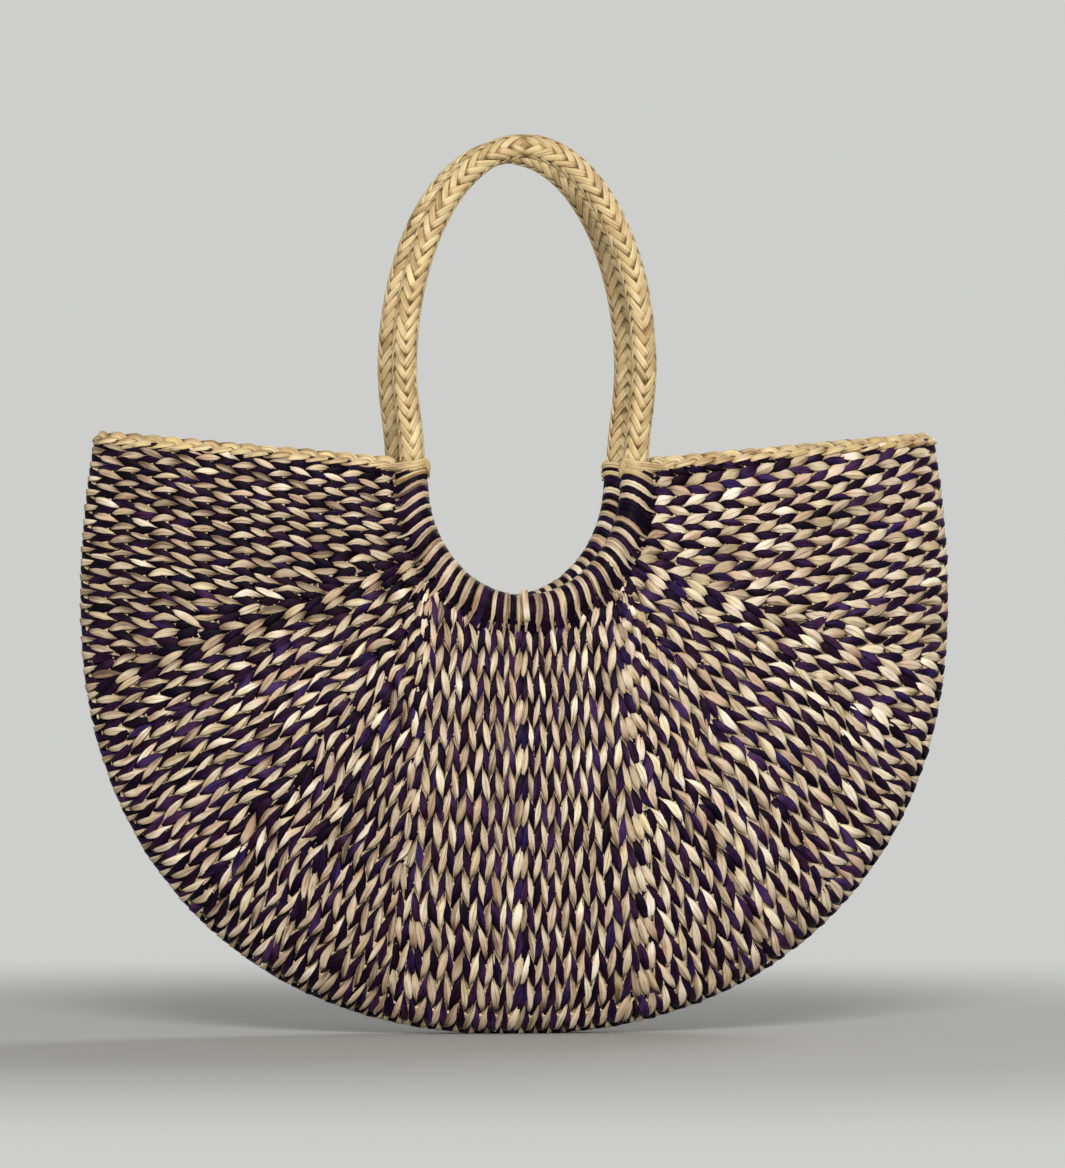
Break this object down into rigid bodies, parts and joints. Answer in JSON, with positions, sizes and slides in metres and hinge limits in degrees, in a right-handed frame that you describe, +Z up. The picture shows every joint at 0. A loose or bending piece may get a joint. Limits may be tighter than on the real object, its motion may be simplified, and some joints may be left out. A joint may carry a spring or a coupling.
{
  "type": "straw tote bag",
  "caption": "Half-moon straw tote bag, twined in two colours over grass rods, with a cut-out for the hand and a plaited handle loop on each panel, open along the top.",
  "frame": {"origin": "middle of the pressed-flat foot, on the surface that the bag stands on", "axes": "+Z up towards the handles, -Y to the front panel that the picture shows, +X to the bag's right as seen from the front"},
  "size_m": [0.4528, 0.0892, 0.4628],
  "materials": {
    "two_colour_straw": "satin",
    "grass_rod": "satin",
    "rope": "matte",
    "braid_straw": "satin",
    "binding_straw": "satin",
    "plaited_straw": "satin"
  },
  "bodies": {
    "bag": {"front_left_wing_straws": "two_colour_straw", "front_left_fan_straws": "two_colour_straw", "front_middle_straws": "two_colour_straw", "front_right_fan_straws": "two_colour_straw", "front_right_wing_straws": "two_colour_straw", "back_left_wing_straws": "two_colour_straw", "back_left_fan_straws": "two_colour_straw", "back_middle_straws": "two_colour_straw", "back_right_fan_straws": "two_colour_straw", "back_right_wing_straws": "two_colour_straw", "front_rod_01": "grass_rod", "front_rod_02": "grass_rod", "front_rod_03": "grass_rod", "front_rod_04": "grass_rod", "front_rod_05": "grass_rod", "front_rod_06": "grass_rod", "front_rod_07": "grass_rod", "front_rod_08": "grass_rod", "front_rod_09": "grass_rod", "front_rod_10": "grass_rod", "front_rod_11": "grass_rod", "front_rod_12": "grass_rod", "front_rod_13": "grass_rod", "front_rod_14": "grass_rod", "front_rod_15": "grass_rod", "front_rod_16": "grass_rod", "back_rod_01": "grass_rod", "back_rod_02": "grass_rod", "back_rod_03": "grass_rod", "back_rod_04": "grass_rod", "back_rod_05": "grass_rod", "back_rod_06": "grass_rod", "back_rod_07": "grass_rod", "back_rod_08": "grass_rod", "back_rod_09": "grass_rod", "back_rod_10": "grass_rod", "back_rod_11": "grass_rod", "back_rod_12": "grass_rod", "back_rod_13": "grass_rod", "back_rod_14": "grass_rod", "back_rod_15": "grass_rod", "back_rod_16": "grass_rod", "edge_rod": "grass_rod", "front_opening_core": "rope", "front_opening_wrap": "two_colour_straw", "back_opening_core": "rope", "back_opening_wrap": "two_colour_straw", "front_left_root_binding": "binding_straw", "front_left_rim_braid": "braid_straw", "front_right_root_binding": "binding_straw", "front_right_rim_braid": "braid_straw", "back_left_root_binding": "binding_straw", "back_left_rim_braid": "braid_straw", "back_right_root_binding": "binding_straw", "back_right_rim_braid": "braid_straw"},
    "front_handle": {"front_handle_rope": "rope", "front_handle_sleeve": "plaited_straw"},
    "back_handle": {"back_handle_rope": "rope", "back_handle_sleeve": "plaited_straw"}
  },
  "joints": [
    {"name": "front_handle_bend", "type": "hinge", "parent": "bag", "child": "front_handle", "pos_m": [0, -0.034, 0.295], "axis": [1, 0, 0], "range_deg": [-9, 35], "stiffness_Nm_per_rad": 1.5},
    {"name": "back_handle_bend", "type": "hinge", "parent": "bag", "child": "back_handle", "pos_m": [0, 0.034, 0.295], "axis": [-1, 0, 0], "range_deg": [-9, 35], "stiffness_Nm_per_rad": 1.5}
  ]
}
